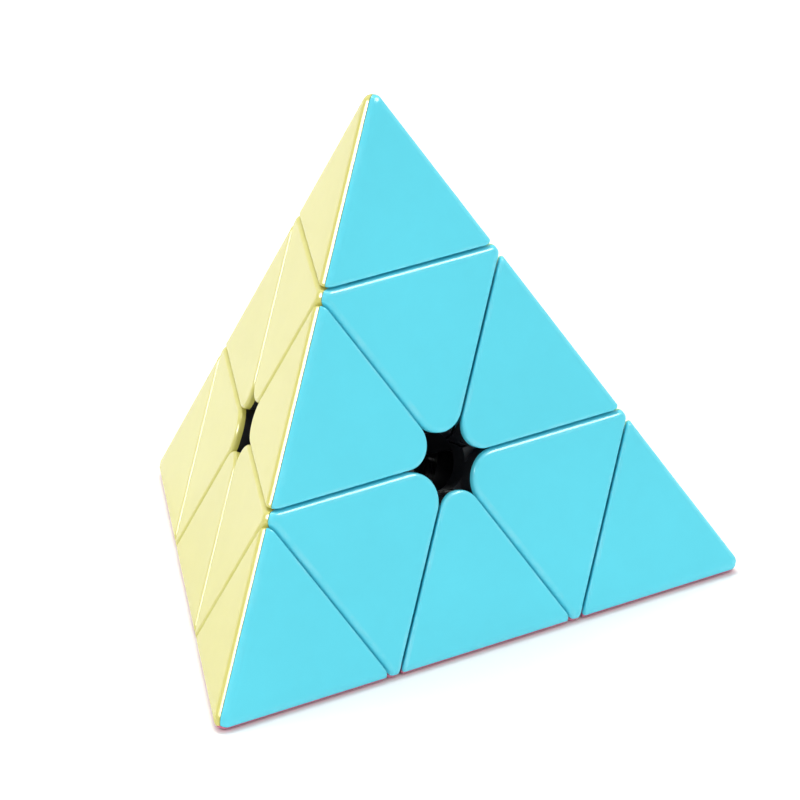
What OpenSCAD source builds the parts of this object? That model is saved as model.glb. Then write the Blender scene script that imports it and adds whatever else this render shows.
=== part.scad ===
// Pyramid twisty puzzle: a tetrahedron cut into four tips, four axial pieces and six edge pieces
// round a hidden core. The origin is the core's centre, where the four turning axes meet. Each axis
// runs out through a corner, +Z is the top corner's axis, and the blue face looks along -Y.

/* [Puzzle body] */
// Edge length of the tetrahedron between its sharp corners
edge = 100; // [92:1:108]
// Radius that rounds the outer edges and corners
edge_round = 1.3; // [0.8:0.1:1.8]
// Gap between two neighbouring pieces along a seam
seam_gap = 0.36; // [0.3:0.02:0.5]
// Radius of the bend that each seam makes just before it reaches an outer edge
rim_round = 2.2; // [1.9:0.1:2.8]
// Radius of the tile corners that leave the hole in the middle of each face
corner_round = 4; // [3.4:0.1:4.2]

/* [Colour caps] */
// Depth of a cap below its face
cap_depth = 3.2; // [2.8:0.1:3.6]
// Thickness of a cap's front
cap_front = 1.6; // [1.2:0.1:2]
// Thickness of a cap's side walls
cap_wall = 1.4; // [1:0.1:1.5]
// Radius of the snap peg behind each cap
peg_r = 1.2; // [1:0.1:1.4]
// Depth of the peg's end below the face
peg_depth = 5; // [4.4:0.1:5.2]

/* [Core and hubs] */
// Radius of the ball in the middle of the core
core_r = 8; // [7:0.1:8.2]
// Radius of the core's four posts
post_r = 3; // [2.6:0.1:3.2]
// Distance of a post's end from the centre
post_end = 17; // [16:0.5:17]
// Outer radius of the hub that turns on a post
hub_r = 4.8; // [4.6:0.1:4.9]
// Height of the floor in an axial piece that its spring presses on
floor_top = 18; // [17.5:0.5:18.5]
// Radius of the well above that floor
well_r = 4.6; // [4.4:0.1:4.7]

/* [Feet and lips] */
// Outer radius of the feet under the edge pieces
foot_r = 14.7; // [14.2:0.1:14.8]
// Inner radius of the lips of the axial pieces, which hold the feet in
lip_r = 15; // [15:0.1:15.4]
// Angle from an axis that a foot reaches to inside the lips
foot_reach = 70; // [67:0.5:70.5]
// Angle from a foot's middle to its sides
foot_half_width = 28; // [24:1:30]
// Clearance between the core ball and what turns over it
core_gap = 0.4; // [0.3:0.05:0.5]

/* [Screws, springs and tip stems] */
// Radius of a screw's shank
screw_r = 1.5; // [1.3:0.1:1.6]
// Radius of a screw's head
screw_head_r = 2.9; // [2.6:0.1:3]
// Height of a screw's head
screw_head_h = 2.2; // [1.8:0.1:2.4]
// Thickness of a washer
washer_t = 0.6; // [0.4:0.1:0.8]
// Outer radius of a washer
washer_r = 4.3; // [4:0.1:4.3]
// Height of a compressed spring
spring_h = 6; // [5:0.5:6]
// Radius of the middle of a spring's wire about its axis
spring_r = 3.75; // [3.5:0.05:3.8]
// Radius of a spring's wire
wire_r = 0.35; // [0.3:0.05:0.4]
// Number of turns in a spring
spring_turns = 4; // [4:1:5]
// Length of the stem that snaps a tip into its axial piece
stem_len = 4.8; // [4.4:0.1:5]
// Inner radius of that stem
stem_bore_r = 3.3; // [3.2:0.1:3.5]
// Width of the slots that let the stem flex
slot_w = 1; // [0.8:0.1:1.2]

/* [Hidden] */
$fn = 72;
// How far the cutting shapes reach
far = 90;
// Running clearance of a post in its hub and of a stem in its well
run_gap = 0.06;
// Clearance of a peg in its hole, of a screw in its post and of a cap on its body
snug_gap = 0.05;
// Half of the thin gap where two caps of one piece meet on an outer edge
mitre_gap = 0.01;

// Distances from the centre to a corner, to a face and to the middle of an edge
corner_dist = edge * sqrt(6) / 4;
face_dist = corner_dist / 3;
ridge_dist = edge * sqrt(2) / 4;
// Cutting planes, measured from the centre along an axis: under a tip, and under a whole layer
tip_dist = corner_dist * 5 / 9;
layer_dist = corner_dist / 9;
// Distance from a face's middle to the middle of an inner tile, and to that of a tip's tile
inner_tile = edge * sqrt(3) / 9;
tip_tile = 2 * inner_tile;
// Angle between an axis and the outer edges that meet on it
edge_tilt = atan(1 / sqrt(2));
// Angle between two axes
axis_angle = acos(-1 / 3);

half_gap = seam_gap / 2;
hub_bottom = core_r + core_gap;
foot_in_r = core_r + core_gap;
washer_z = floor_top + spring_h;
head_z = washer_z + washer_t;
stem_r = well_r - run_gap;
stem_bottom = tip_dist - stem_len;
// The snap bead round a stem, and the groove that it sits in
bead_out = 0.3;
bead_h = 1;
bead_z = stem_bottom + 0.7;
// Radius of the hole down through the bodies under each face's middle
face_hole_r = corner_round + 2 * half_gap + 0.3;

CORNERS = ["top", "left", "right", "back"];
// Colour of the face opposite each corner
FACES = ["pink", "green", "yellow", "blue"];
PAINT = [[0.95, 0.62, 0.74], [0.62, 0.88, 0.66], [0.94, 0.93, 0.69], [0.41, 0.87, 0.94]];
BLACK = [0.06, 0.06, 0.07];
STEEL = [0.72, 0.73, 0.75];
// Pairs of corners that each edge piece lies between
EDGES = [[0, 1], [0, 2], [0, 3], [1, 2], [2, 3], [3, 1]];
// Directions of the corners from the centre
AXES = [
    [0, 0, 1],
    for (turn = [210, 330, 90]) [sin(axis_angle) * cos(turn), sin(axis_angle) * sin(turn), cos(axis_angle)]
];

function unit(v) = v / norm(v);
function others(list) = [for (c = [0:3]) if (len(search(c, list)) == 0) c];
// Direction in face k from the face's middle towards corner i
function in_face(k, i) = unit(AXES[i] + AXES[k] / 3);
function tip_name(i) = str("tip_", CORNERS[i]);
function axial_name(i) = str("axial_", CORNERS[i]);
function edge_name(e) = str("edge_", CORNERS[e[0]], "_", CORNERS[e[1]]);
function cap_name(piece, k) = str(piece, "_", FACES[k], "_cap");

// ---- Cutting shapes ----

// Turns +Z to a direction
module toward(n) {
    rotate([0, acos(n[2]), atan2(n[1], n[0])])
        children();
}

// Everything further than dist from the centre in a direction
module beyond(n, dist) {
    toward(n)
        translate([-far, -far, dist])
            cube(2 * far);
}

// Everything on the outer side of a seam about axis i. The seam is flat, and it bends outward
// where it meets the outer edges that run to the listed corners. shift moves it outward.
module above(i, dist, shift, corners) {
    ridge_r = (corner_dist - dist) * tan(edge_tilt);
    inward = edge_round * (1 / sin(edge_tilt) - 1) / cos(edge_tilt);
    bend_r = ridge_r - inward - rim_round * sin(edge_tilt);
    bend = edge_tilt / 2;
    intersection() {
        beyond(AXES[i], dist + shift);
        intersection_for (j = corners)
            beyond(
                cos(bend) * AXES[i] - sin(bend) * in_face(i, j),
                dist * cos(bend) - bend_r * sin(bend) + shift
            );
    }
}

module tip_zone(i, inset = 0) {
    above(i, tip_dist, half_gap + inset, others([i]));
}

module axial_zone(i, inset = 0) {
    difference() {
        beyond(AXES[i], layer_dist + half_gap + inset);
        above(i, tip_dist, -half_gap - inset, others([i]));
        for (j = others([i]))
            above(j, layer_dist, -half_gap - inset, [i]);
    }
}

module edge_zone(e, inset = 0) {
    intersection() {
        above(e[0], layer_dist, half_gap + inset, [e[1]]);
        above(e[1], layer_dist, half_gap + inset, [e[0]]);
    }
}

// The layer under face k between two depths, split from the other faces' caps on the mitre planes
module face_slab(k, top_depth, bottom_depth, inset) {
    intersection() {
        toward(-AXES[k])
            translate([-far, -far, face_dist - bottom_depth])
                cube([2 * far, 2 * far, bottom_depth - top_depth]);
        intersection_for (m = others([k]))
            beyond(unit(AXES[m] - AXES[k]), inset + mitre_gap);
    }
}

// What the rounded corner takes off a tile at the middle of face k; the tile lies in direction dir
module hole_corner(k, dir, inset = 0) {
    centre = 2 * (half_gap + corner_round);
    round_r = corner_round - inset;
    difference() {
        beyond(-dir, round_r / 2 - centre);
        translate(centre * dir)
            toward(-AXES[k])
                cylinder(r = round_r + 0.03, h = far);
    }
}

// What the rounding takes off face k's side of the outer edge between corners p and q
module edge_rounding(k, p, q) {
    l = others([k, p, q])[0];
    middle = unit(AXES[p] + AXES[q]);
    sideways = unit(AXES[l] - AXES[k]);
    for (a = [9, 27, 45])
        beyond(
            cos(a) * middle + sin(a) * sideways,
            (ridge_dist - sqrt(3) * edge_round) * cos(a) + edge_round
        );
}

// The space inside the caps that the black bodies fill
module inner_space() {
    intersection_for (k = [0:3])
        toward(-AXES[k])
            translate([-far, -far, -far])
                cube([2 * far, 2 * far, far + face_dist - cap_depth - snug_gap / 2]);
}

module peg(k, place, r, from, to) {
    translate(place)
        toward(-AXES[k])
            translate([0, 0, face_dist - to])
                cylinder(r = r, h = to - from);
}

// ---- Colour caps ----

module tip_cap(i, k) {
    place = tip_tile * in_face(k, i);
    color(PAINT[k]) {
        difference() {
            intersection() {
                tip_zone(i);
                face_slab(k, 0, cap_depth, 0);
            }
            intersection() {
                tip_zone(i, cap_wall);
                face_slab(k, cap_front, cap_depth + 1, cap_wall);
            }
            for (j = others([i, k]))
                edge_rounding(k, i, j);
            beyond(AXES[i], corner_dist - 2 * edge_round);
        }
        peg(k, place, peg_r, cap_front - 0.2, peg_depth);
    }
}

module axial_cap(i, k) {
    dir = in_face(k, i);
    color(PAINT[k]) {
        difference() {
            intersection() {
                axial_zone(i);
                face_slab(k, 0, cap_depth, 0);
            }
            difference() {
                intersection() {
                    axial_zone(i, cap_wall);
                    face_slab(k, cap_front, cap_depth + 1, cap_wall);
                }
                hole_corner(k, dir, cap_wall);
            }
            for (j = others([i, k]))
                edge_rounding(k, i, j);
            hole_corner(k, dir);
        }
        peg(k, inner_tile * dir, peg_r, cap_front - 0.2, peg_depth);
    }
}

module edge_cap(e, k) {
    dir = -in_face(k, others([e[0], e[1], k])[0]);
    color(PAINT[k]) {
        difference() {
            intersection() {
                face_slab(k, 0, cap_depth, 0);
                edge_zone(e);
            }
            difference() {
                intersection() {
                    edge_zone(e, cap_wall);
                    face_slab(k, cap_front, cap_depth + 1, cap_wall);
                }
                hole_corner(k, dir, cap_wall);
            }
            edge_rounding(k, e[0], e[1]);
            hole_corner(k, dir);
        }
        peg(k, inner_tile * dir, peg_r, cap_front - 0.2, peg_depth);
    }
}

// ---- Tips ----

module tip_core(i) {
    color(BLACK) {
        difference() {
            intersection() {
                tip_zone(i);
                inner_space();
            }
            for (k = others([i]))
                peg(k, tip_tile * in_face(k, i), peg_r + snug_gap, 0, peg_depth + 0.1);
        }
        toward(AXES[i])
            tip_stem();
    }
}

// The slotted stem with its snap bead
module tip_stem() {
    difference() {
        union() {
            translate([0, 0, stem_bottom])
                cylinder(r = stem_r, h = stem_len + half_gap + 0.2);
            translate([0, 0, bead_z])
                cylinder(r = stem_r + bead_out, h = bead_h);
        }
        translate([0, 0, stem_bottom - 1])
            cylinder(r = stem_bore_r, h = stem_len);
        for (a = [0, 120, 240])
            rotate(a)
                translate([0, -slot_w / 2, stem_bottom - 1])
                    cube([hub_r * 2, slot_w, stem_len]);
    }
}

// ---- Axial pieces ----

module axial_body(i) {
    color(BLACK)
        difference() {
            union() {
                difference() {
                    intersection() {
                        axial_zone(i);
                        inner_space();
                    }
                    sphere(r = lip_r);
                    for (k = others([i]))
                        toward(-AXES[k])
                            cylinder(r = face_hole_r, h = far);
                }
                toward(AXES[i])
                    translate([0, 0, hub_bottom])
                        cylinder(r = hub_r, h = floor_top - hub_bottom);
            }
            toward(AXES[i])
                hub_bore();
            for (k = others([i]))
                peg(k, inner_tile * in_face(k, i), peg_r + snug_gap, 0, peg_depth + 0.1);
        }
}

// The bore for the post, the spring well above it, and the groove for the tip's snap bead
module hub_bore() {
    cylinder(r = post_r + run_gap, h = far);
    translate([0, 0, floor_top])
        cylinder(r = well_r, h = far);
    translate([0, 0, bead_z - 0.2])
        cylinder(r = stem_r + bead_out + 0.1, h = bead_h + 0.4);
}

// ---- Edge pieces ----

module edge_body(e) {
    color(BLACK)
        difference() {
            union() {
                difference() {
                    intersection() {
                        edge_zone(e);
                        inner_space();
                    }
                    for (k = others(e))
                        toward(-AXES[k])
                            cylinder(r = face_hole_r, h = far);
                }
                edge_foot(e);
            }
            for (k = others(e))
                peg(k, inner_tile * -in_face(k, others([e[0], e[1], k])[0]),
                    peg_r + snug_gap, 0, peg_depth + 0.1);
        }
}

// The foot runs under the lips of the two axial pieces beside it, over the core ball
module edge_foot(e) {
    rest = others(e);
    ahead = unit(AXES[e[0]] + AXES[e[1]]);
    along = unit(AXES[e[1]] - AXES[e[0]]);
    aside = unit(AXES[rest[1]] - AXES[rest[0]]);
    length_angle = foot_reach - axis_angle / 2;
    difference() {
        sphere(r = foot_r);
        sphere(r = foot_in_r);
        for (side = [-1, 1]) {
            beyond(cos(length_angle) * side * along - sin(length_angle) * ahead, 0);
            beyond(cos(foot_half_width) * side * aside - sin(foot_half_width) * ahead, 0);
        }
    }
}

// ---- Core, screws, springs and washers ----

module core() {
    color(BLACK)
        difference() {
            union() {
                sphere(r = core_r);
                for (i = [0:3])
                    toward(AXES[i])
                        translate([0, 0, core_r - 2])
                            cylinder(r = post_r, h = post_end - core_r + 2);
            }
            for (i = [0:3])
                toward(AXES[i])
                    translate([0, 0, core_r + 1])
                        cylinder(r = screw_r + snug_gap, h = far);
        }
}

module screws() {
    color(STEEL)
        for (i = [0:3])
            toward(AXES[i])
                screw();
}

module screw() {
    recess_w = screw_head_r * 0.3;
    recess_l = screw_head_r * 1.2;
    difference() {
        union() {
            translate([0, 0, core_r + 2])
                cylinder(r = screw_r, h = head_z - core_r - 1.9);
            translate([0, 0, head_z])
                cylinder(r = screw_head_r, h = screw_head_h);
        }
        for (a = [0, 90])
            rotate(a)
                translate([-recess_l / 2, -recess_w / 2, head_z + screw_head_h / 2])
                    cube([recess_l, recess_w, screw_head_h]);
    }
}

module washers() {
    color(STEEL)
        for (i = [0:3])
            toward(AXES[i])
                translate([0, 0, washer_z])
                    difference() {
                        cylinder(r = washer_r, h = washer_t);
                        translate([0, 0, -1])
                            cylinder(r = screw_r + 2 * snug_gap, h = washer_t + 2);
                    }
}

module springs() {
    color(STEEL)
        for (i = [0:3])
            toward(AXES[i])
                translate([0, 0, floor_top + wire_r + snug_gap])
                    spring();
}

// A round wire swept along a helix
module spring() {
    sides = 6;
    rings = 12 * spring_turns;
    rise = spring_h - 2 * (wire_r + snug_gap);
    points = [
        for (s = [0:rings]) let (turn = 360 * spring_turns * s / rings)
            for (c = [0:sides - 1]) let (a = 360 * c / sides, r = spring_r + wire_r * cos(a))
                [r * cos(turn), r * sin(turn), rise * s / rings + wire_r * sin(a)]
    ];
    walls = [
        for (s = [0:rings - 1]) for (c = [0:sides - 1]) let (d = (c + 1) % sides)
            [s * sides + c, (s + 1) * sides + c, (s + 1) * sides + d, s * sides + d]
    ];
    start_end = [for (c = [0:sides - 1]) c];
    finish_end = [for (c = [sides - 1:-1:0]) rings * sides + c];
    polyhedron(points, concat(walls, [start_end, finish_end]));
}

core();
screws();
springs();
washers();
for (i = [0:3]) {
    axial_body(i);
    tip_core(i);
    for (k = others([i])) {
        axial_cap(i, k);
        tip_cap(i, k);
    }
}
for (e = EDGES) {
    edge_body(e);
    for (k = others(e))
        edge_cap(e, k);
}
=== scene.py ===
"""Pyramid twisty puzzle: coloured tiles, black bodies and a sprung core, dressed for display.

Lengths inside the tile builder are in millimetres; everything placed in the scene is in metres.
"""

import math

import bmesh
import bpy
import numpy as np
from bpy.props import FloatProperty, FloatVectorProperty, PointerProperty
from mathutils import Matrix, Vector


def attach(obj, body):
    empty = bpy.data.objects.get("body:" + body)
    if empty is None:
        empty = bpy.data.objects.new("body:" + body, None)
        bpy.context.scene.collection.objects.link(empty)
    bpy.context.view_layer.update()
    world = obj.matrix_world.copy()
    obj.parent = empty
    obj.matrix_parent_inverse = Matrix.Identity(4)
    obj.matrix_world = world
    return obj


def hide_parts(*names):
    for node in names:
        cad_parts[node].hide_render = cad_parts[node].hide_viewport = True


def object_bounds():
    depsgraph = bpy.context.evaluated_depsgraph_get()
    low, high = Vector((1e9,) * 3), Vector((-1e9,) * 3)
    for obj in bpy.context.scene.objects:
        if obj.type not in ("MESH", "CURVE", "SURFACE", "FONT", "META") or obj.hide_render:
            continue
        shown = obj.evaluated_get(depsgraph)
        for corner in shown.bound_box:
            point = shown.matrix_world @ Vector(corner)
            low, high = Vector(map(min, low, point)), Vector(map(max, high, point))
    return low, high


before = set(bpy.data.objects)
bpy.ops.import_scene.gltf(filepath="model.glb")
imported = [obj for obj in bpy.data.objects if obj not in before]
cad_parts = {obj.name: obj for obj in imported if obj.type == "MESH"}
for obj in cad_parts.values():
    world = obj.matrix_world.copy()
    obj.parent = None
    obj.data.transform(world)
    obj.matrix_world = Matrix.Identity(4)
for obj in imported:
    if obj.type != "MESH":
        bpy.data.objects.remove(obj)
CAD_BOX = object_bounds()

bl_info = {
    "name": "Pyramid twisty puzzle",
    "version": (1, 0, 0),
    "blender": (4, 5, 0),
    "location": "3D View > Sidebar > Puzzle",
    "description": "Builds the tiles, finishes and display stage of a pyramid twisty puzzle",
    "category": "Object",
}

MM = 0.001

# ---- The puzzle's own frame: corners, faces and colours ----

CORNERS = ["top", "left", "right", "back"]
FACE_COLOURS = ["pink", "green", "yellow", "blue"]  # of the face opposite each corner
EDGE_PAIRS = [(0, 1), (0, 2), (0, 3), (1, 2), (2, 3), (3, 1)]
AXIS_COS = -1 / 3  # between any two axes
AXIS_SIN = math.sqrt(8) / 3
AXES = [np.array([0.0, 0.0, 1.0])] + [
    np.array(
        [
            AXIS_SIN * math.cos(math.radians(turn)),
            AXIS_SIN * math.sin(math.radians(turn)),
            AXIS_COS,
        ]
    )
    for turn in (210, 330, 90)
]
EDGE_TILT = math.atan(1 / math.sqrt(2))  # between an axis and the outer edges at it
FACE_PER_AXIS = 2 * math.sqrt(2) / 3  # share of an axis that lies along a face beside it
SIN60 = math.sin(math.radians(60))

BODY_ROUND_MM = 1.3  # rounding of the outer edges that the seams are laid out for
BOX_HEIGHT = CAD_BOX[1].z - CAD_BOX[0].z
DEFAULT_EDGE = (BOX_HEIGHT + 2 * BODY_ROUND_MM * MM) / math.sqrt(2 / 3)


def unit(v):
    return v / np.linalg.norm(v)


def others(*used):
    return [c for c in range(4) if c not in used]


def in_face(k, i):
    """Direction in face k from its middle towards corner i."""
    return unit(AXES[i] + AXES[k] / 3)


# ---- What a user may change ----


class PuzzleSizes(bpy.types.PropertyGroup):
    edge: FloatProperty(
        name="Edge",
        description="Edge length of the pyramid between its sharp corners",
        default=DEFAULT_EDGE,
        unit="LENGTH",
    )
    edge_round: FloatProperty(
        name="Edge rounding",
        description="Radius that rounds the outer edges and corners",
        default=0.00155,
        unit="LENGTH",
    )
    seam_gap: FloatProperty(
        name="Seam gap",
        description="Gap between two neighbouring pieces",
        default=0.00036,
        unit="LENGTH",
    )
    rim_round: FloatProperty(
        name="Seam bend",
        description="Radius of the bend that each seam makes before an outer edge",
        default=0.0022,
        unit="LENGTH",
    )
    corner_round: FloatProperty(
        name="Hole corner",
        description="Radius of the tile corners round the hole in each face",
        default=0.004,
        unit="LENGTH",
    )
    fillet: FloatProperty(
        name="Tile fillet",
        description="Width of the rounding along a tile's seam sides",
        default=0.0006,
        unit="LENGTH",
    )
    mitre_gap: FloatProperty(
        name="Colour joint",
        description="Half of the gap between two colours that meet on an outer edge",
        default=0.00005,
        unit="LENGTH",
    )
    cap_depth: FloatProperty(
        name="Tile depth",
        description="Depth of a tile's side walls",
        default=0.0032,
        unit="LENGTH",
    )
    colour_depth: FloatProperty(
        name="Colour depth",
        description="How far down a hole's wall the tile's colour reaches",
        default=0.00105,
        unit="LENGTH",
    )
    cap_front: FloatProperty(
        name="Tile front",
        description="Thickness of a tile's front",
        default=0.0016,
        unit="LENGTH",
    )
    cap_wall: FloatProperty(
        name="Tile wall",
        description="Thickness of a tile's side walls",
        default=0.0014,
        unit="LENGTH",
    )


def colour_property(name, description, default):
    return FloatVectorProperty(
        name=name,
        description=description,
        default=default,
        subtype="COLOR",
        size=3,
        min=0,
        max=1,
    )


class PuzzleColours(bpy.types.PropertyGroup):
    blue: colour_property("Blue", "Sky blue plastic", (0.107, 0.69, 0.835))
    yellow: colour_property("Yellow", "Pale yellow plastic", (0.63, 0.595, 0.145))
    green: colour_property("Green", "Mint green plastic", (0.34, 0.78, 0.42))
    pink: colour_property("Pink", "Soft pink plastic", (0.64, 0.18, 0.29))
    black: colour_property("Black", "Black body plastic", (0.012, 0.013, 0.016))
    steel: colour_property("Steel", "Screws, washers and springs", (0.56, 0.57, 0.58))
    floor: colour_property("Floor", "Display floor", (0.93, 0.93, 0.93))


class PuzzleStage(bpy.types.PropertyGroup):
    azimuth: FloatProperty(
        name="Azimuth",
        description="Camera's turn round the puzzle",
        default=math.radians(-36.673),
        subtype="ANGLE",
    )
    elevation: FloatProperty(
        name="Elevation",
        description="Camera's angle above the floor",
        default=math.radians(22.624),
        subtype="ANGLE",
    )
    distance: FloatProperty(
        name="Distance",
        description="Camera's distance from the puzzle's centre",
        default=1.0159,
        unit="LENGTH",
    )
    lens: FloatProperty(
        name="Lens",
        description="Camera's focal length, in millimetres",
        default=307.8,
    )
    shift_right: FloatProperty(
        name="Shift right",
        description="How far the camera stands to the right of the puzzle's centre",
        default=0.00399,
        unit="LENGTH",
    )
    shift_up: FloatProperty(
        name="Shift up",
        description="How far the camera stands above the line through the puzzle's centre",
        default=0.00928,
        unit="LENGTH",
    )
    top_power: FloatProperty(
        name="Top light", description="Power of the top light, in watts", default=5.0
    )
    key_power: FloatProperty(
        name="Right light", description="Power of the right light, in watts", default=12.5
    )
    fill_power: FloatProperty(
        name="Left light", description="Power of the left light, in watts", default=22.0
    )
    sky: FloatProperty(
        name="Studio light", description="Strength of the even light", default=0.92
    )


# ---- Tile outlines, in millimetres, in a face's own plane ----


STRAIGHT_SAMPLES = 5  # points on the straight part of each half of a seam
BEND_SAMPLES = 13  # points on the part of it that holds the bend
SEAM_SAMPLES = STRAIGHT_SAMPLES + BEND_SAMPLES
ARC_SAMPLES = 15  # points between the two ends of a hole corner
BEND_REACH = 3.3  # how far before its end a seam's bend is sure to have started
SEARCH_REACH = 8  # how far before the outer edge a seam's end is looked for
SEARCH_PAST = 1  # and how far past it
SEARCH_SAMPLES = 300
SEARCH_STEPS = 50  # halvings, or rounds, until a searched length has settled
CORNER_REACH = 1.3  # how far from its end a tip's ridge is sampled finely
EDGE_RIDGE_SAMPLES, AXIAL_RIDGE_SAMPLES = 9, 3  # points between the ends of a ridge side
# Rings on a tile's top, from its outline inward: inset from the seams, and from the ridges
TOP_RINGS = [
    (0, 0),
    (0.04, 0.17),
    (0.08, 0.37),
    (0.12, 0.6),
    (0.16, 0.83),
    (0.2, 1.08),
    (0.7, 2.6),
    (2.0, 5.5),
]
RIM_FADE = [0.8, 0.72, 0.64, 0.56, 0.48, 0.4, 0.15, 0]
# How much a fillet's upper part, its side and the wall below are handled
RIM_TOP, RIM_SIDE, RIM_WALL = 1.0, 0.7, 0.2
RIM_TOP_SHARE = 0.7  # share of a fillet that counts as its upper part
FILLET_STEPS = 6
HOLE_BLEND = 5  # seam points over which the colour's lower edge drops away from a hole


class TileShape:
    """Works out points on a tile: across, up and depth below the face, from the sizes."""

    def __init__(self, sizes, ridge_turns=(30, 150, 270)):
        mm = {name: getattr(sizes, name) / MM for name in sizes.__annotations__}
        self.__dict__.update(mm)
        self.ridge_turns = ridge_turns
        self.corner_dist = self.edge * math.sqrt(6) / 4
        self.face_dist = self.corner_dist / 3
        self.tip_dist = self.corner_dist * 5 / 9
        self.layer_dist = self.corner_dist / 9
        self.side_dist = self.edge * math.sqrt(3) / 6  # a face's middle to its sides
        self.half_gap = self.seam_gap / 2
        # Where the flat of a face ends and its outer rounding starts, from the sharp side
        self.flat_from = self.edge_round * math.sqrt(2)

    def outer_depth(self, q):
        """Depth of the rounded pyramid's surface below the face plane, at points q."""
        reach = self.side_dist - self.flat_from
        inside = np.full(len(q), -np.inf)
        away = np.full(len(q), np.inf)
        for turn in self.ridge_turns:
            out = np.array(
                [math.cos(math.radians(turn)), math.sin(math.radians(turn))]
            )
            along = np.array([-out[1], out[0]])
            past = q @ out - reach
            inside = np.maximum(inside, past)
            half = reach * math.sqrt(3)
            beside = np.maximum(np.abs(q @ along) - half, 0)
            away = np.minimum(away, np.hypot(past, beside))
        away = np.where(inside <= 0, 0, away)
        away = np.minimum(away, self.edge_round)
        return self.edge_round - np.sqrt(self.edge_round**2 - away**2)

    def seam_height(self, r, dist, side):
        """Height along its axis of a seam's surface at radius r, moved by side."""
        ridge_r = (self.corner_dist - dist) * math.tan(EDGE_TILT)
        inward = BODY_ROUND_MM * (1 / math.sin(EDGE_TILT) - 1) / math.cos(EDGE_TILT)
        start = ridge_r - inward - self.rim_round * math.sin(EDGE_TILT)
        past = np.maximum(r - start, 0)
        bend = np.minimum(past, self.rim_round * math.sin(EDGE_TILT))
        rise = np.sqrt(self.rim_round**2 - bend**2)
        slope = bend / rise
        height = dist + self.rim_round - rise + (past - bend) * math.tan(EDGE_TILT)
        return height + side * np.sqrt(1 + slope**2)

    def seam_points(self, corner, sign, dist, side, x, depth=None):
        """Points x along a seam from its middle, on the outer surface or at a depth."""
        e_t = np.array(
            [math.cos(math.radians(corner)), math.sin(math.radians(corner))]
        )
        e_x = sign * np.array([e_t[1], -e_t[0]])
        t = np.full(len(x), (dist - self.face_dist / 3) / FACE_PER_AXIS)
        for _ in range(SEARCH_STEPS):
            q = np.outer(x, e_x) + np.outer(t, e_t)
            z = self.outer_depth(q) if depth is None else depth
            drop = self.face_dist - z
            h = drop / 3 + FACE_PER_AXIS * t
            r = np.sqrt(np.maximum(drop**2 + x**2 + t**2 - h**2, 0))
            t = (self.seam_height(r, dist, side) - drop / 3) / FACE_PER_AXIS
        q = np.outer(x, e_x) + np.outer(t, e_t)
        z = self.outer_depth(q) if depth is None else np.broadcast_to(depth, len(x))
        ridge = self.side_dist - SIN60 * x - t / 2
        return q, z, ridge

    def mitre_ridge(self, depth=None, inset=0.0):
        """Distance in the face from its sharp side to the colour joint at that depth."""
        off = math.sqrt(3) * (self.mitre_gap + inset)
        if depth is not None:
            return off + math.sqrt(2) * depth
        low, high = 0.0, self.flat_from
        for _ in range(SEARCH_STEPS):
            y = (low + high) / 2
            d = self.edge_round - math.sqrt(
                max(self.edge_round**2 - (self.flat_from - y) ** 2, 0)
            )
            low, high = (y, high) if y < off + math.sqrt(2) * d else (low, y)
        return (low + high) / 2

    def seam_half(self, corner, sign, dist, up, inset, end, depth=None, hole=False):
        """One seam from its middle, or from its hole corner, to where the ridge is end away."""
        side = (1 if up else -1) * (self.half_gap + inset * FACE_PER_AXIS)
        reach = (self.corner_dist - dist) * math.tan(EDGE_TILT) * SIN60
        nearest = max(reach - SEARCH_REACH, 0)
        far = np.linspace(nearest, reach + SEARCH_PAST, SEARCH_SAMPLES)
        levels = None if depth is None else np.ravel(depth).astype(float)
        deep = None if depth is None else levels[-1]
        ridge = self.seam_points(corner, sign, dist, side, far, deep)[2]
        x_end = np.interp(-end, -ridge, far)
        x_from = 0.0
        if hole:
            x_from = self.hole_arc(up, inset, 0 if depth is None else levels[0])[2]
        bend_from = x_end - BEND_REACH
        x = np.concatenate(
            [
                np.linspace(x_from, bend_from, STRAIGHT_SAMPLES + 1)[:-1],
                np.linspace(bend_from, x_end, BEND_SAMPLES),
            ]
        )
        q, z, _ = self.seam_points(corner, sign, dist, side, x, depth)
        return q, z

    def hole_arc(self, up, inset, depth):
        """Centre distance and radius of a hole corner, and where it leaves the seam."""
        flare = depth / (3 * FACE_PER_AXIS)
        own = self.half_gap / FACE_PER_AXIS
        apex = 2 * own + self.corner_round
        line = own + inset + (flare if up else -flare)
        if depth == 0:
            radius = self.corner_round - inset
        else:
            radius = apex + inset - 2 * line
        return 2 * (line + radius), radius, math.sqrt(3) * (line + radius)


def chain_hole(shape, up, inset, end, depth=None):
    """From the left ridge down a seam, round the hole corner and up to the right ridge."""
    left = (210, 1) if not up else (30, -1)
    right = (330, -1) if not up else (150, 1)
    dist = shape.layer_dist
    lq, lz = shape.seam_half(*left, dist, up, inset, end, depth, hole=True)
    rq, rz = shape.seam_half(*right, dist, up, inset, end, depth, hole=True)
    level = 0.0 if depth is None else float(np.ravel(depth)[0])
    centre, radius, _ = shape.hole_arc(up, inset, level)
    turns = np.radians(np.linspace(210, 330, ARC_SAMPLES + 2)[1:-1])
    arc = np.stack([radius * np.cos(turns), centre + radius * np.sin(turns)], 1)
    return (
        np.concatenate([lq[::-1], arc, rq]),
        np.concatenate([lz[::-1], np.full(len(arc), level), rz]),
    )


def chain_tip(shape, up, inset, end, depth=None):
    """Along the seam under a tip, from left to right for the tip and back for the piece below."""
    halves = [
        shape.seam_half(90, sign, shape.tip_dist, up, inset, end, depth)
        for sign in (-1, 1)
    ]
    (lq, lz), (rq, rz) = halves
    q = np.concatenate([lq[::-1], rq[1:]])
    z = np.concatenate([lz[::-1], rz[1:]])
    return (q, z) if up else (q[::-1], z[::-1])


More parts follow.
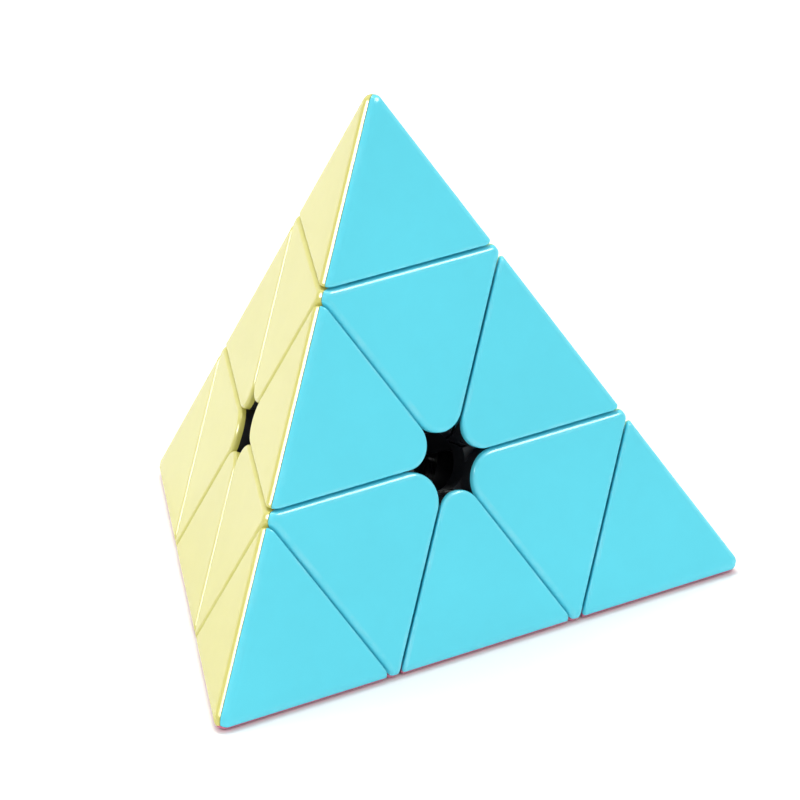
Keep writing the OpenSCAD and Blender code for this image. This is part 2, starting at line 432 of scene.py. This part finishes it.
def blend_depth(shape, chain, add_flat, add_end):
    """Depths for a curve on the wall, that much further down than the outline's own."""
    q, z = chain
    near = shape.outer_depth(q) / shape.outer_depth(q[[0, -1]]).max()
    return z + add_flat + (add_end - add_flat) * np.clip(near, 0, 1)


class Tile:
    """One kind of tile, built once in a face's plane with its own direction up."""

    def __init__(self, kind, shape):
        self.shape = shape
        self.verts, self.faces, self.flat, self.rim = [], [], [], []
        self.black = set()  # faces in the body's black, deep in a hole
        s = shape
        if kind == "tip":
            self.chains = [lambda *a: chain_tip(s, True, *a)]
        elif kind == "axial":
            self.chains = [
                lambda *a: chain_hole(s, False, *a),
                lambda *a: chain_tip(s, False, *a),
            ]
        else:
            self.chains = [lambda *a: chain_hole(s, True, *a)]
        self.kind = kind
        self.build()

    def add(self, q, z, rim):
        first = len(self.verts)
        for (x, y), d in zip(q, np.broadcast_to(z, len(q))):
            self.verts.append((x, y, -float(d)))
            self.rim.append(rim)
        return list(range(first, len(self.verts)))

    def ridge_sides(self, loops, extra, depth=None, inset=0.0):
        """Points on the ridge sides between the chains' ends, in the chains' order."""
        s = self.shape
        sides = []
        for n, (q, _) in enumerate(loops):
            a, b = q[-1], loops[(n + 1) % len(loops)][0][0]
            if self.kind == "tip":
                sides += self.tip_ridges(a, b, extra, depth, inset)
                continue
            count = EDGE_RIDGE_SAMPLES if self.kind == "edge" else AXIAL_RIDGE_SAMPLES
            f = np.linspace(0, 1, count + 2)[1:-1, None]
            line = a + (b - a) * f
            z = s.outer_depth(line) if depth is None else depth
            sides.append((line, np.broadcast_to(z, len(line))))
        return sides

    def tip_ridges(self, a, b, extra, depth, inset):
        """Both ridge sides of a tip's tile and the corner between them, as one run."""
        s = self.shape
        corner = np.array([0, 2 * s.side_dist])
        run_down = np.array([0.5, -SIN60])
        inward = np.array([-SIN60, -0.5])
        start = float((a - corner) @ run_down)
        base = s.mitre_ridge(depth, inset)
        off = math.sqrt(3) * s.mitre_gap

        def at(run):
            """The joint's own distance from the sharp side, a run from the corner."""
            if depth is not None:
                return np.full(len(run), base)
            low, high = np.zeros(len(run)), np.asarray(run) / math.sqrt(3)
            for _ in range(SEARCH_STEPS):
                y = (low + high) / 2
                q = corner + np.outer(run, run_down) + np.outer(y, inward)
                more = y < off + math.sqrt(2) * s.outer_depth(q)
                low, high = np.where(more, y, low), np.where(more, high, y)
            return (low + high) / 2

        low, high = 0.0, s.flat_from
        for _ in range(SEARCH_STEPS):
            y = (low + high) / 2
            more = y < off + math.sqrt(2) * s.outer_depth(corner - [[0, 2 * y]])[0]
            low, high = (y, high) if more else (low, y)
        end = math.sqrt(3) * (high + extra)
        ball = end + CORNER_REACH
        run = np.concatenate(
            [np.linspace(start, ball, 10)[1:], np.linspace(ball, end, 8)[1:]]
        )
        y = at(run) + extra
        right = corner + np.outer(run, run_down) + np.outer(y, inward)
        left = right[-2::-1] * np.array([-1, 1])
        line = np.concatenate([right, left])
        z = s.outer_depth(line) if depth is None else depth
        return [(line, np.broadcast_to(z, len(line)))]

    def strip(self, outer, inner, flat=False):
        for i in range(len(outer) - 1):
            self.faces.append((outer[i], outer[i + 1], inner[i + 1], inner[i]))
            self.flat.append(flat)

    def build(self):
        s = self.shape
        joint = s.mitre_ridge()
        # The top: rings from the fillets' inner edge inward
        rings = []
        for (inset, extra), rim in zip(TOP_RINGS, RIM_FADE):
            loops = [c(s.fillet + inset, joint + extra) for c in self.chains]
            sides = self.ridge_sides(loops, extra)
            rings.append(
                (
                    [self.add(q, z, rim) for q, z in loops],
                    [self.add(q, z, rim) for q, z in sides],
                )
            )
        for (oc, os_), (ic, is_) in zip(rings, rings[1:]):
            for n, (a, b) in enumerate(zip(oc, ic)):
                self.strip(a, b)
                after = (n + 1) % len(oc)
                self.strip([a[-1], *os_[n], oc[after][0]], [b[-1], *is_[n], ic[after][0]])
        ic, is_ = rings[-1]
        self.faces.append(tuple(v for c, r in zip(ic, is_) for v in (*c, *r)))
        self.flat.append(False)

        # The fillets and walls along the seams
        top_c, top_s = rings[0]
        walls = []
        floor_end = s.mitre_ridge(s.cap_depth)
        for n, chain in enumerate(self.chains):
            crease = chain(0.0, joint)
            deep = blend_depth(s, crease, s.fillet * FACE_PER_AXIS, s.fillet / math.sqrt(3))
            end_depth = float(deep[[0, -1]].max())
            wall = self.wall_curve(n, deep, end_depth)
            columns = [top_c[n]]
            p0 = np.array([self.verts[v] for v in top_c[n]])
            pc = np.column_stack([crease[0], -crease[1]])
            pw = np.column_stack([wall[0], -wall[1]])
            for step in range(1, FILLET_STEPS + 1):
                f = step / FILLET_STEPS
                e1, e2 = pc - p0, pw - pc
                turn = np.sum(e1 * e2, 1) / (
                    np.linalg.norm(e1, axis=1) * np.linalg.norm(e2, axis=1)
                )
                w = np.sqrt((1 + np.clip(turn, -1, 1)) / 2)[:, None]
                down = (1 - f) ** 2, 2 * f * (1 - f) * w, f**2
                p = (down[0] * p0 + down[1] * pc + down[2] * pw) / sum(down)
                handled = RIM_TOP if f < RIM_TOP_SHARE else RIM_SIDE
                columns.append(self.add(p[:, :2], -p[:, 2], handled))
            in_hole = self.kind != "tip" and n == 0
            middle = s.cap_depth / 2
            levels = middle
            if in_hole:
                levels = np.full(SEAM_SAMPLES, middle)
                levels[:HOLE_BLEND] = np.linspace(s.colour_depth, middle, HOLE_BLEND)
            q, z = chain(0.0, s.mitre_ridge(middle), levels)
            columns.append(self.add(q, z, RIM_WALL))
            q, z = chain(0.0, s.mitre_ridge(s.cap_depth), s.cap_depth)
            columns.append(self.add(q, z, RIM_WALL))
            for upper, lower in zip(columns, columns[1:]):
                self.strip(lower, upper)
            if in_hole:
                first = len(self.faces) - len(columns[-1]) + 1
                arc = range(SEAM_SAMPLES - 1, SEAM_SAMPLES + ARC_SAMPLES)
                self.black.update(first + i for i in arc)
            walls.append(columns)

        # The joint faces on the outer edges, and the tray under the tile
        floor_c = [columns[-1] for columns in walls]
        ends = []
        for n in range(len(self.chains)):
            after = (n + 1) % len(self.chains)
            rise = [columns[-1] for columns in reversed(walls[n])]
            fall = [columns[0] for columns in walls[after]]
            if self.kind == "tip":
                middle = len(top_s[n]) // 2
                apex_q = np.array([[0.0, 2 * (s.side_dist - floor_end)]])
                apex = self.add(apex_q, s.cap_depth, 0.0)
                right, left = top_s[n][: middle + 1], top_s[n][middle:]
                self.faces += [(*rise, *right, *apex), (*left, *fall, *apex)]
                self.flat += [True, True]
                ends.append(apex)
            else:
                self.faces.append((*rise, *top_s[n], *fall))
                self.flat.append(True)
                ends.append([])
        outline = [v for c, e in zip(floor_c, ends) for v in (*c, *e)]
        inner = []
        for depth in (s.cap_depth, s.cap_front):
            end = s.mitre_ridge(depth, s.cap_wall)
            ring = []
            for chain, e in zip(self.chains, ends):
                q, z = chain(s.cap_wall, end, depth)
                ring += self.add(q, z, 0.0)
                if e:
                    ring += self.add(np.array([[0.0, 2 * (s.side_dist - end)]]), depth, 0.0)
            inner.append(ring)
        for outer, lower in ((inner[0], outline), (inner[1], inner[0])):
            closed_outer, closed_lower = [*outer, outer[0]], [*lower, lower[0]]
            self.strip(closed_outer, closed_lower, flat=True)
        self.faces.append(tuple(reversed(inner[1])))
        self.flat.append(True)

    def wall_curve(self, n, deep, end_depth):
        """The curve on a seam's wall where its fillet ends."""
        s = self.shape
        end = s.mitre_ridge(end_depth)
        if self.kind == "tip" or n == 1:
            return chain_tip(s, self.kind == "tip", 0.0, end, deep[len(deep) // 2 :])
        return chain_hole(s, self.kind == "edge", 0.0, end, deep[-SEAM_SAMPLES:])


def make_tile_mesh(name, tile, k, up_dir):
    """Places a tile's points on face k, with its own direction turned to up_dir."""
    out = -AXES[k]
    across = np.cross(up_dir, out)
    points = np.array(tile.verts)
    face_dist = tile.shape.face_dist
    placed = (
        np.outer(points[:, 0], across)
        + np.outer(points[:, 1], up_dir)
        + np.outer(points[:, 2] + face_dist, out)
    ) * MM
    mesh = bpy.data.meshes.new(name)
    mesh.from_pydata([tuple(p) for p in placed], [], tile.faces)
    mesh.polygons.foreach_set("use_smooth", [not f for f in tile.flat])
    slots = [int(n in tile.black) for n in range(len(tile.faces))]
    mesh.polygons.foreach_set("material_index", slots)
    rim = mesh.attributes.new("rim", "FLOAT", "POINT")
    rim.data.foreach_set("value", tile.rim)
    bm = bmesh.new()
    bm.from_mesh(mesh)
    bmesh.ops.remove_doubles(bm, verts=bm.verts, dist=1e-7)
    bm.to_mesh(mesh)
    bm.free()
    mesh.validate()
    return mesh


def place_tile(tile, piece, k, up_dir):
    colour = FACE_COLOURS[k]
    name = f"{piece}_{colour}_tile"
    obj = bpy.data.objects.new(name, make_tile_mesh(name, tile, k, up_dir))
    bpy.context.scene.collection.objects.link(obj)
    obj.data.materials.append(tile_plastic(colour))
    if tile.black:
        obj.data.materials.append(black_plastic())
    weigh = obj.modifiers.new("even_shading", "WEIGHTED_NORMAL")
    weigh.keep_sharp = True
    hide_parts(f"{piece}_{colour}_cap")
    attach(obj, piece)
    return obj


# ---- Shader groups shared by the materials ----


def new_group(name, inputs, outputs):
    """An empty shader group with named sockets; each input is (name, kind, default)."""
    tree = bpy.data.node_groups.new(name, "ShaderNodeTree")
    for label, kind, default in inputs:
        socket = tree.interface.new_socket(
            name=label, in_out="INPUT", socket_type=f"NodeSocket{kind}"
        )
        if default is not None:
            socket.default_value = default
    for label, kind in outputs:
        tree.interface.new_socket(
            name=label, in_out="OUTPUT", socket_type=f"NodeSocket{kind}"
        )
    return tree, tree.nodes.new("NodeGroupInput"), tree.nodes.new("NodeGroupOutput")


def noise(tree, vector, scale, detail=2.0, rough=0.5, stretch=None):
    if stretch is not None:
        mapping = tree.nodes.new("ShaderNodeMapping")
        mapping.inputs["Scale"].default_value = stretch
        tree.links.new(vector, mapping.inputs["Vector"])
        vector = mapping.outputs["Vector"]
    node = tree.nodes.new("ShaderNodeTexNoise")
    node.inputs["Detail"].default_value = detail
    node.inputs["Roughness"].default_value = rough
    if isinstance(scale, bpy.types.NodeSocket):
        tree.links.new(scale, node.inputs["Scale"])
    else:
        node.inputs["Scale"].default_value = scale
    tree.links.new(vector, node.inputs["Vector"])
    return node.outputs["Fac"]


def remap(tree, value, low, high, to_low, to_high):
    node = tree.nodes.new("ShaderNodeMapRange")
    for label, given in (
        ("Value", value),
        ("From Min", low),
        ("From Max", high),
        ("To Min", to_low),
        ("To Max", to_high),
    ):
        if isinstance(given, bpy.types.NodeSocket):
            tree.links.new(given, node.inputs[label])
        else:
            node.inputs[label].default_value = given
    return node.outputs["Result"]


def maths(tree, operation, a, b):
    node = tree.nodes.new("ShaderNodeMath")
    node.operation = operation
    for socket, given in zip(node.inputs, (a, b)):
        if isinstance(given, bpy.types.NodeSocket):
            tree.links.new(given, socket)
        else:
            socket.default_value = given
    return node.outputs["Value"]


def blend(tree, a, share_a, b, share_b):
    """Two values added in the given shares."""
    return maths(
        tree, "ADD", maths(tree, "MULTIPLY", a, share_a), maths(tree, "MULTIPLY", b, share_b)
    )


def mix_colour(tree, factor, a, b):
    node = tree.nodes.new("ShaderNodeMix")
    node.data_type = "RGBA"
    sockets = {s.identifier: s for s in node.inputs}
    for label, given in (
        ("Factor_Float", factor),
        ("A_Color", a),
        ("B_Color", b),
    ):
        if isinstance(given, bpy.types.NodeSocket):
            tree.links.new(given, sockets[label])
        else:
            sockets[label].default_value = given
    return {s.identifier: s for s in node.outputs}["Result_Color"]


def colour_drift_group():
    """Slow, faint changes in a moulded part's colour."""
    found = bpy.data.node_groups.get("Colour drift")
    if found:
        return found
    tree, given, out = new_group(
        "Colour drift",
        [("Vector", "Vector", None), ("Light", "Color", None), ("Deep", "Color", None)],
        [("Colour", "Color")],
    )
    wide = noise(tree, given.outputs["Vector"], 38, 3)
    fine = noise(tree, given.outputs["Vector"], 420, 2)
    both = blend(tree, wide, 0.8, fine, 0.2)
    share = remap(tree, both, 0.3, 0.7, 0, 1)
    mixed = mix_colour(tree, share, given.outputs["Light"], given.outputs["Deep"])
    tree.links.new(mixed, out.inputs["Colour"])
    return tree


def moulded_grain_group():
    """The fine skin that a mould leaves, with a few faint scuffs across it."""
    found = bpy.data.node_groups.get("Moulded grain")
    if found:
        return found
    tree, given, out = new_group(
        "Moulded grain",
        [
            ("Vector", "Vector", None),
            ("Grain", "Float", 6000.0),
            ("Scuffs", "Float", 0.2),
        ],
        [("Height", "Float"), ("Scuff", "Float")],
    )
    grain = noise(tree, given.outputs["Vector"], given.outputs["Grain"], 3, 0.6)
    swell = noise(tree, given.outputs["Vector"], 160, 2)
    streak = noise(tree, given.outputs["Vector"], 260, 4, 0.7, (1.0, 7.0, 1.6))
    scuff = remap(tree, streak, 0.64, 0.8, 0, 1)
    scuff = maths(tree, "MULTIPLY", scuff, given.outputs["Scuffs"])
    height = blend(tree, grain, 0.5, swell, 0.5)
    height = maths(tree, "SUBTRACT", height, maths(tree, "MULTIPLY", scuff, 0.4))
    tree.links.new(height, out.inputs["Height"])
    tree.links.new(scuff, out.inputs["Scuff"])
    return tree


def handled_edges_group():
    """Where handling has dulled and paled a tile's rim, unevenly along it."""
    found = bpy.data.node_groups.get("Handled edges")
    if found:
        return found
    tree, given, out = new_group(
        "Handled edges",
        [("Vector", "Vector", None), ("Rim", "Float", 0.0), ("Amount", "Float", 0.3)],
        [("Mask", "Float")],
    )
    uneven = noise(tree, given.outputs["Vector"], 230, 5, 0.65)
    patches = remap(tree, uneven, 0.42, 0.68, 0.1, 1)
    near = remap(tree, given.outputs["Rim"], 0.35, 1, 0, 1)
    mask = maths(tree, "MULTIPLY", patches, near)
    mask = maths(tree, "MULTIPLY", mask, given.outputs["Amount"])
    tree.links.new(mask, out.inputs["Mask"])
    return tree


def polish_group():
    """Roughness that wanders a little, with faint finger smudges."""
    found = bpy.data.node_groups.get("Polish")
    if found:
        return found
    tree, given, out = new_group(
        "Polish",
        [("Vector", "Vector", None), ("Low", "Float", 0.3), ("High", "Float", 0.4)],
        [("Roughness", "Float")],
    )
    wide = noise(tree, given.outputs["Vector"], 55, 4, 0.55)
    fine = noise(tree, given.outputs["Vector"], 900, 3, 0.6)
    both = blend(tree, wide, 0.7, fine, 0.3)
    tree.links.new(
        remap(tree, both, 0.3, 0.7, given.outputs["Low"], given.outputs["High"]),
        out.inputs["Roughness"],
    )
    return tree


def place_group(tree, group, **values):
    node = tree.nodes.new("ShaderNodeGroup")
    node.node_tree = group
    for label, given in values.items():
        socket = node.inputs[label]
        if isinstance(given, bpy.types.NodeSocket):
            tree.links.new(given, socket)
        else:
            socket.default_value = given
    return node.outputs


def shade(colour, factor):
    return (*(min(max(c * factor, 0), 1) for c in colour), 1.0)


def start_material(name):
    material = bpy.data.materials.new(name)
    material.use_nodes = True
    tree = material.node_tree
    shader = tree.nodes["Principled BSDF"]
    where = tree.nodes.new("ShaderNodeTexCoord").outputs["Object"]
    return material, tree, shader, where


def bump(tree, shader, height, strength, distance):
    node = tree.nodes.new("ShaderNodeBump")
    node.inputs["Strength"].default_value = strength
    node.inputs["Distance"].default_value = distance
    tree.links.new(height, node.inputs["Height"])
    tree.links.new(node.outputs["Normal"], shader.inputs["Normal"])


def tile_plastic(colour):
    """Coloured tile plastic: satin, faintly grained, a little paler where it is handled."""
    name = f"{colour} tile plastic"
    found = bpy.data.materials.get(name)
    if found:
        return found
    base = getattr(bpy.context.scene.puzzle_colours, colour)
    material, tree, shader, where = start_material(name)
    drift = place_group(
        tree,
        colour_drift_group(),
        Vector=where,
        Light=shade(base, 1.03),
        Deep=shade(base, 0.97),
    )
    grain = place_group(tree, moulded_grain_group(), Vector=where, Grain=5200.0, Scuffs=0.15)
    rim = tree.nodes.new("ShaderNodeAttribute")
    rim.attribute_name = "rim"
    worn = place_group(
        tree, handled_edges_group(), Vector=where, Rim=rim.outputs["Fac"], Amount=0.22
    )
    pale = tuple(c + (1 - c) * 0.35 for c in base)
    coloured = mix_colour(tree, worn["Mask"], drift["Colour"], (*pale, 1.0))
    tree.links.new(coloured, shader.inputs["Base Color"])
    polish = place_group(tree, polish_group(), Vector=where, Low=0.19, High=0.22)
    dulled = maths(tree, "ADD", worn["Mask"], grain["Scuff"])
    rough = maths(
        tree, "ADD", polish["Roughness"], maths(tree, "MULTIPLY", dulled, 0.12)
    )
    tree.links.new(rough, shader.inputs["Roughness"])
    shader.inputs["IOR"].default_value = 1.42
    bump(tree, shader, grain["Height"], 0.02, 0.00006)
    return material


def body_plastic(name, low, high):
    """Black body plastic: deep, glossy where it slides, with a trace of dust."""
    found = bpy.data.materials.get(name)
    if found:
        return found
    base = bpy.context.scene.puzzle_colours.black
    material, tree, shader, where = start_material(name)
    drift = place_group(
        tree, colour_drift_group(), Vector=where, Light=shade(base, 1.3), Deep=shade(base, 0.8)
    )
    grain = place_group(tree, moulded_grain_group(), Vector=where, Grain=4200.0, Scuffs=0.5)
    dusty = maths(tree, "MULTIPLY", grain["Scuff"], 0.12)
    coloured = mix_colour(tree, dusty, drift["Colour"], (0.2, 0.2, 0.21, 1.0))
    tree.links.new(coloured, shader.inputs["Base Color"])
    polish = place_group(tree, polish_group(), Vector=where, Low=low, High=high)
    rough = maths(
        tree, "ADD", polish["Roughness"], maths(tree, "MULTIPLY", grain["Scuff"], 0.2)
    )
    tree.links.new(rough, shader.inputs["Roughness"])
    bump(tree, shader, grain["Height"], 0.1, 0.00006)
    return material


def black_plastic():
    return body_plastic("black body plastic", 0.22, 0.34)


def fastener_steel(name, factor, low, high):
    """Plated steel with fine turning marks."""
    found = bpy.data.materials.get(name)
    if found:
        return found
    base = bpy.context.scene.puzzle_colours.steel
    material, tree, shader, where = start_material(name)
    drift = place_group(
        tree,
        colour_drift_group(),
        Vector=where,
        Light=shade(base, factor * 1.08),
        Deep=shade(base, factor * 0.86),
    )
    tree.links.new(drift["Colour"], shader.inputs["Base Color"])
    shader.inputs["Metallic"].default_value = 1.0
    polish = place_group(tree, polish_group(), Vector=where, Low=low, High=high)
    tree.links.new(polish["Roughness"], shader.inputs["Roughness"])
    grain = place_group(tree, moulded_grain_group(), Vector=where, Grain=2600.0, Scuffs=0.6)
    bump(tree, shader, grain["Height"], 0.15, 0.00004)
    return material


def dress_node(name, material):
    """Gives a CAD part its finish; its shape and place stay."""
    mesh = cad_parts[name].data
    mesh.materials.clear()
    mesh.materials.append(material)


# ---- Operators ----


class PUZZLE_OT_tip_tiles(bpy.types.Operator):
    """Builds the three coloured tiles of each of the four tips"""

    bl_idname = "pyramid_puzzle.tip_tiles"
    bl_label = "Tip tiles"

    def execute(self, context):
        tile = Tile("tip", TileShape(context.scene.puzzle_sizes))
        for i in range(4):
            for k in others(i):
                place_tile(tile, f"tip_{CORNERS[i]}", k, in_face(k, i))
        return {"FINISHED"}


class PUZZLE_OT_axial_tiles(bpy.types.Operator):
    """Builds the three coloured tiles of each of the four axial pieces"""

    bl_idname = "pyramid_puzzle.axial_tiles"
    bl_label = "Axial tiles"

    def execute(self, context):
        tile = Tile("axial", TileShape(context.scene.puzzle_sizes))
        for i in range(4):
            for k in others(i):
                place_tile(tile, f"axial_{CORNERS[i]}", k, in_face(k, i))
        return {"FINISHED"}


class PUZZLE_OT_edge_tiles(bpy.types.Operator):
    """Builds the two coloured tiles of each of the six edge pieces"""

    bl_idname = "pyramid_puzzle.edge_tiles"
    bl_label = "Edge tiles"

    def execute(self, context):
        tile = Tile("edge", TileShape(context.scene.puzzle_sizes, (90, 210, 330)))
        for p, q in EDGE_PAIRS:
            for k in others(p, q):
                (opposite,) = others(p, q, k)
                piece = f"edge_{CORNERS[p]}_{CORNERS[q]}"
                place_tile(tile, piece, k, -in_face(k, opposite))
        return {"FINISHED"}


class PUZZLE_OT_bodies(bpy.types.Operator):
    """Finishes the black bodies that carry the tiles"""

    bl_idname = "pyramid_puzzle.bodies"
    bl_label = "Black bodies"

    def execute(self, context):
        plastic = black_plastic()
        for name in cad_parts:
            if name.endswith("_body") or name.endswith("_core"):
                dress_node(name, plastic)
        return {"FINISHED"}


class PUZZLE_OT_core(bpy.types.Operator):
    """Finishes the core that everything turns on"""

    bl_idname = "pyramid_puzzle.core"
    bl_label = "Core"

    def execute(self, context):
        dress_node("core", body_plastic("polished core plastic", 0.14, 0.24))
        return {"FINISHED"}


class PUZZLE_OT_fasteners(bpy.types.Operator):
    """Finishes the screws, washers and springs"""

    bl_idname = "pyramid_puzzle.fasteners"
    bl_label = "Screws, washers and springs"

    def execute(self, context):
        dress_node("screws", fastener_steel("screw steel", 0.9, 0.24, 0.38))
        dress_node("washers", fastener_steel("washer steel", 1.05, 0.2, 0.32))
        dress_node("springs", fastener_steel("spring steel", 0.75, 0.28, 0.42))
        return {"FINISHED"}


FLOOR_SIDES, FLOOR_RADIUS = 48, 6.0  # the floor is a wide disc, in metres
LIGHT_AIM = (0, 0, 0.01)
# Soft boxes that show only in the sheen: place, width and height, and their power's name
SHEEN_LIGHTS = {
    "right soft box": ((0.55, -0.28, 0.79), 0.46, 0.38, "key_power"),
    "left soft box": ((-0.73, 0.26, 0.58), 0.62, 0.3, "fill_power"),
}


def soft_light(name, place, width, height, power, sheen_only=False):
    """A rectangular soft box that faces the puzzle; it may show only in the sheen."""
    light = bpy.data.lights.new(name, "AREA")
    light.shape = "RECTANGLE"
    light.size, light.size_y = width, height
    light.energy = power
    obj = bpy.data.objects.new(name, light)
    bpy.context.scene.collection.objects.link(obj)
    obj.location = place
    obj.rotation_mode = "QUATERNION"
    obj.rotation_quaternion = (Vector(LIGHT_AIM) - Vector(place)).to_track_quat("-Z", "Y")
    obj.visible_diffuse = not sheen_only


def floor_material(colour):
    material, tree, shader, where = start_material("display floor")
    drift = place_group(
        tree,
        colour_drift_group(),
        Vector=where,
        Light=shade(colour, 1.01),
        Deep=shade(colour, 0.995),
    )
    tree.links.new(drift["Colour"], shader.inputs["Base Color"])
    polish = place_group(tree, polish_group(), Vector=where, Low=0.7, High=0.8)
    tree.links.new(polish["Roughness"], shader.inputs["Roughness"])
    shader.inputs["Specular IOR Level"].default_value = 0.2
    return material


class PUZZLE_OT_stage(bpy.types.Operator):
    """Sets the pale floor, the soft studio light and the camera"""

    bl_idname = "pyramid_puzzle.stage"
    bl_label = "Stage"

    def execute(self, context):
        scene = context.scene
        stage, colours = scene.puzzle_stage, scene.puzzle_colours
        ground = CAD_BOX[0].z
        turns = [2 * math.pi * n / FLOOR_SIDES for n in range(FLOOR_SIDES)]
        mesh = bpy.data.meshes.new("floor")
        mesh.from_pydata(
            [(FLOOR_RADIUS * math.cos(a), FLOOR_RADIUS * math.sin(a), ground) for a in turns],
            [],
            [tuple(range(FLOOR_SIDES))],
        )
        floor = bpy.data.objects.new("floor", mesh)
        mesh.materials.append(floor_material(colours.floor))
        scene.collection.objects.link(floor)

        world = bpy.data.worlds.new("studio")
        world.use_nodes = True
        scene.world = world
        tree = world.node_tree
        even = tree.nodes["Background"]
        even.inputs["Color"].default_value = (1.0, 1.0, 1.0, 1.0)
        even.inputs["Strength"].default_value = stage.sky

        soft_light("top soft box", (0.1, 0.3, 0.95), 0.5, 0.5, stage.top_power)
        for name, (place, width, height, power) in SHEEN_LIGHTS.items():
            soft_light(name, place, width, height, getattr(stage, power), sheen_only=True)

        a, e = stage.azimuth, stage.elevation
        back = Vector(
            (math.sin(a) * math.cos(e), -math.cos(a) * math.cos(e), math.sin(e))
        )
        right = Vector((math.cos(a), math.sin(a), 0))
        up = back.cross(right)
        camera_data = bpy.data.cameras.new("camera")
        camera_data.sensor_width = 36
        camera_data.lens = stage.lens
        camera_data.clip_start, camera_data.clip_end = 0.05, 50
        camera = bpy.data.objects.new("camera", camera_data)
        scene.collection.objects.link(camera)
        turn = Matrix((right, up, back)).transposed().to_4x4()
        place = back * stage.distance + right * stage.shift_right + up * stage.shift_up
        camera.matrix_world = Matrix.Translation(place) @ turn
        scene.camera = camera
        scene.view_settings.view_transform = "Standard"
        return {"FINISHED"}


class PUZZLE_PT_panel(bpy.types.Panel):
    bl_label = "Pyramid twisty puzzle"
    bl_idname = "PUZZLE_PT_panel"
    bl_space_type = "VIEW_3D"
    bl_region_type = "UI"
    bl_category = "Puzzle"

    def draw(self, context):
        scene = context.scene
        for group in (scene.puzzle_sizes, scene.puzzle_colours, scene.puzzle_stage):
            box = self.layout.box()
            for name in group.__annotations__:
                box.prop(group, name)
        for operator in OPERATORS:
            self.layout.operator(operator.bl_idname)


OPERATORS = [
    PUZZLE_OT_stage,
    PUZZLE_OT_bodies,
    PUZZLE_OT_core,
    PUZZLE_OT_fasteners,
    PUZZLE_OT_tip_tiles,
    PUZZLE_OT_axial_tiles,
    PUZZLE_OT_edge_tiles,
]
CLASSES = [PuzzleSizes, PuzzleColours, PuzzleStage, *OPERATORS, PUZZLE_PT_panel]


def register():
    for c in CLASSES:
        bpy.utils.register_class(c)
    bpy.types.Scene.puzzle_sizes = PointerProperty(type=PuzzleSizes)
    bpy.types.Scene.puzzle_colours = PointerProperty(type=PuzzleColours)
    bpy.types.Scene.puzzle_stage = PointerProperty(type=PuzzleStage)


def unregister():
    del bpy.types.Scene.puzzle_stage
    del bpy.types.Scene.puzzle_colours
    del bpy.types.Scene.puzzle_sizes
    for c in reversed(CLASSES):
        bpy.utils.unregister_class(c)


def main():
    register()
    bpy.ops.pyramid_puzzle.stage()
    bpy.ops.pyramid_puzzle.bodies()
    bpy.ops.pyramid_puzzle.core()
    bpy.ops.pyramid_puzzle.fasteners()
    bpy.ops.pyramid_puzzle.tip_tiles()
    bpy.ops.pyramid_puzzle.axial_tiles()
    bpy.ops.pyramid_puzzle.edge_tiles()


if __name__ == "__main__":
    main()
